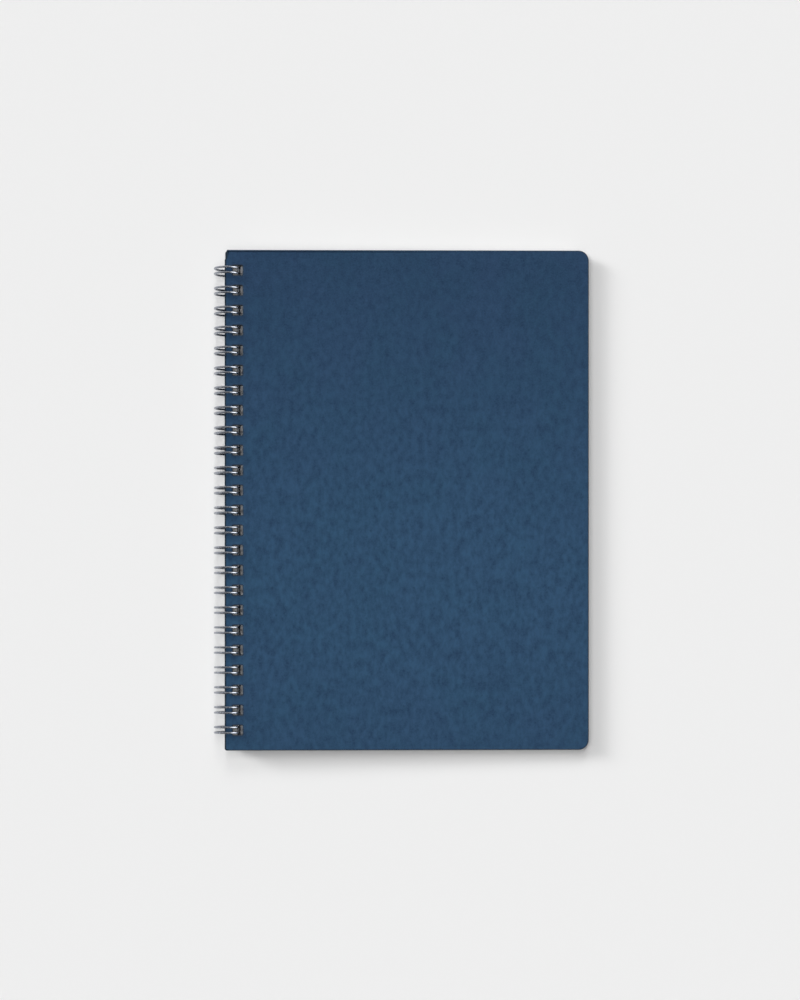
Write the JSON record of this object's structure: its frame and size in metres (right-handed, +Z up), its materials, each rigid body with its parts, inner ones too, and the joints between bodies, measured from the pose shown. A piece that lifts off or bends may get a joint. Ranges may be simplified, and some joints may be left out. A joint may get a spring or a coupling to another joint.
{
  "type": "twin-loop notebook",
  "caption": "Notebook with plain board covers, a block of pages and a twin-loop wire binding along its long left side.",
  "frame": {"origin": "on the table, under the middle of the whole object", "axes": "+X from the spine to the fore edge, +Y from tail to head, +Z up out of the front cover"},
  "size_m": [0.1594, 0.212, 0.0117],
  "materials": {
    "cover_board": "matte speckled board",
    "pages": "uncoated",
    "binding_wire": "nickel-toned, satin"
  },
  "bodies": {
    "binding": {"page_block": "pages", "twin_loop_wire": "binding_wire"},
    "front": {"front_cover": "cover_board"},
    "back": {"back_cover": "cover_board"}
  },
  "joints": [
    {"name": "front_cover_turn", "type": "hinge", "parent": "binding", "child": "front", "pos_m": [-0.07383, 0, 0.00523], "axis": [0, -1, 0], "range_deg": [0, 180]},
    {"name": "back_cover_turn", "type": "hinge", "parent": "binding", "child": "back", "pos_m": [-0.0738, 0, 0.00643], "axis": [0, 1, 0], "range_deg": [0, 180]}
  ]
}
